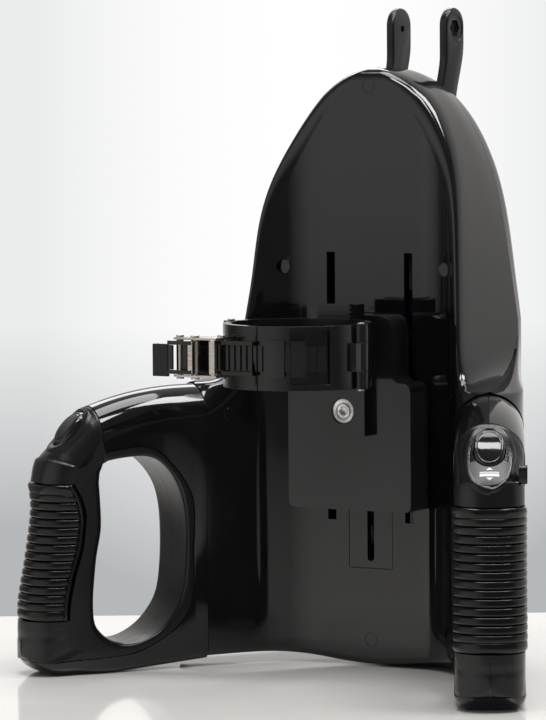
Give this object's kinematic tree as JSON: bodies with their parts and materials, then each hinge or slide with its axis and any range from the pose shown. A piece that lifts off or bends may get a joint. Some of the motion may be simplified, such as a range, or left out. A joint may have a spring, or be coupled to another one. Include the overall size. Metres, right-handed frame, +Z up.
{
  "type": "two-grip reciprocating ring-clamp unit",
  "caption": "Shield-shaped glossy housing with two splayed D-handles, a belt-driven carriage on slots in its trough, a hinged ring clamp with ladder-strap buckle and a forked bracket on top.",
  "frame": {"origin": "on the floor under the middle of the overall box", "axes": "+Z up, X across the two handles, the trough and the handles face -Y"},
  "size_m": [0.382, 0.2416, 0.438],
  "materials": {
    "gloss_shell": "glossy moulded black",
    "gloss_insert": "glossy moulded black",
    "gloss_carriage": "glossy moulded black",
    "gloss_ring": "satin-gloss moulded black",
    "matte_handle": "fine-grained matte black",
    "matte_part": "matte black",
    "grip_rubber": "matte ribbed rubber",
    "pad_rubber": "matte ribbed rubber",
    "strap_plastic": "flexible black plastic",
    "buckle_steel": "warm bright steel",
    "screw_steel": "turned bright steel",
    "pin_steel": "polished steel",
    "rod_steel": "ground steel",
    "plate_steel": "zinc plated",
    "smoked_label": "smoked gray",
    "bronze": "sintered bronze",
    "belt_rubber": "toothed belt",
    "board_green": "solder-masked board",
    "cell_wrap": "shrink-wrapped cells",
    "motor_can": "plated can"
  },
  "bodies": {
    "unit": {"front_cover": "gloss_shell", "rear_cover": "gloss_shell", "slot_panel": "gloss_insert", "screw_plugs": "gloss_shell", "fork": "matte_part", "left_arm_front": "gloss_shell", "left_arm_rear": "gloss_shell", "right_arm_front": "gloss_shell", "right_arm_rear": "gloss_shell", "left_handle_front": "matte_handle", "left_handle_rear": "matte_handle", "right_handle_front": "matte_handle", "right_handle_rear": "matte_handle", "left_grip": "grip_rubber", "right_grip": "grip_rubber", "left_switch_board": "board_green", "right_switch_board": "board_green", "label_plate": "smoked_label", "chassis_plate": "plate_steel", "rod_blocks": "matte_part", "guide_rods": "rod_steel", "belt": "belt_rubber", "idler_axle": "pin_steel", "motor": "motor_can", "circuit_board": "board_green", "battery_pack": "cell_wrap", "charge_socket": "matte_part", "housing_screws": "screw_steel"},
    "carriage": {"carriage_cover": "gloss_carriage", "carriage_base": "matte_part", "carriage_screw": "screw_steel", "carriage_screws": "screw_steel", "ring_mount": "gloss_ring", "ring_pads": "pad_rubber", "hinge_pins": "pin_steel", "slider_block": "matte_part", "bushings": "bronze", "belt_clamp": "plate_steel"},
    "right_jaw_body": {"right_jaw": "gloss_ring", "right_jaw_pad": "pad_rubber", "ladder_strap": "strap_plastic"},
    "left_jaw_body": {"left_jaw": "gloss_ring", "left_jaw_pad": "pad_rubber", "buckle_pin": "pin_steel"},
    "buckle": {"buckle_frame": "buckle_steel", "lever_pin": "pin_steel", "pawl_pin": "pin_steel"},
    "lever": {"buckle_lever": "matte_part"},
    "catch": {"pawl": "buckle_steel"},
    "left_rocker_body": {"left_rocker": "gloss_shell"},
    "right_rocker_body": {"right_rocker": "gloss_shell"},
    "button": {"side_button": "matte_part"},
    "lower_pulley": {"drive_pulley": "plate_steel"},
    "upper_pulley": {"idler_pulley": "plate_steel"}
  },
  "joints": [
    {"name": "carriage_slide", "type": "slide", "parent": "unit", "child": "carriage", "axis": [0, 0, 1], "range_m": [-0.045, 0.094]},
    {"name": "right_jaw_hinge", "type": "hinge", "parent": "carriage", "child": "right_jaw_body", "pos_m": [0.0495, -0.05716, 0.21375], "axis": [0, 0, 1], "range_deg": [0, 60], "deforming": ["ladder_strap"]},
    {"name": "left_jaw_hinge", "type": "hinge", "parent": "carriage", "child": "left_jaw_body", "pos_m": [-0.0495, -0.05716, 0.21375], "axis": [0, 0, -1], "range_deg": [0, 60]},
    {"name": "buckle_hinge", "type": "hinge", "parent": "left_jaw_body", "child": "buckle", "pos_m": [-0.029, -0.09996, 0.21375], "axis": [0, 0, 1], "range_deg": [0, 60]},
    {"name": "lever_hinge", "type": "hinge", "parent": "buckle", "child": "lever", "pos_m": [-0.042, -0.11116, 0.21375], "axis": [0, 0, 1], "range_deg": [0, 50], "stiffness_Nm_per_rad": 0.05},
    {"name": "catch_hinge", "type": "hinge", "parent": "buckle", "child": "catch", "pos_m": [-0.054, -0.11066, 0.21375], "axis": [0, 0, -1], "range_deg": [0, 12], "stiffness_Nm_per_rad": 0.03},
    {"name": "left_rocker_tilt", "type": "hinge", "parent": "unit", "child": "left_rocker_body", "pos_m": [-0.15833, -0.08238, 0.15871], "axis": [-0.866, 0.5, 0], "range_deg": [-5, 5], "stiffness_Nm_per_rad": 0.4},
    {"name": "right_rocker_tilt", "type": "hinge", "parent": "unit", "child": "right_rocker_body", "pos_m": [0.15833, -0.08238, 0.15871], "axis": [0.866, 0.5, 0], "range_deg": [-5, 5], "stiffness_Nm_per_rad": 0.4},
    {"name": "side_button_slide", "type": "slide", "parent": "unit", "child": "button", "axis": [-0.866, -0.5, 0], "range_m": [0, 0.0015], "stiffness_N_per_m": 400},
    {"name": "drive_pulley_spin", "type": "hinge", "parent": "unit", "child": "lower_pulley", "pos_m": [0, 0.06284, 0.062], "axis": [0, 1, 0], "range_deg": [-505, 245]},
    {"name": "idler_pulley_spin", "type": "hinge", "parent": "unit", "child": "upper_pulley", "pos_m": [0, 0.06284, 0.304], "axis": [0, 1, 0], "range_deg": [-505, 245]}
  ],
  "couplings": [
    {"joint": "drive_pulley_spin", "follows": "carriage_slide", "rad_per_m": -93.023},
    {"joint": "idler_pulley_spin", "follows": "carriage_slide", "rad_per_m": -93.023}
  ]
}
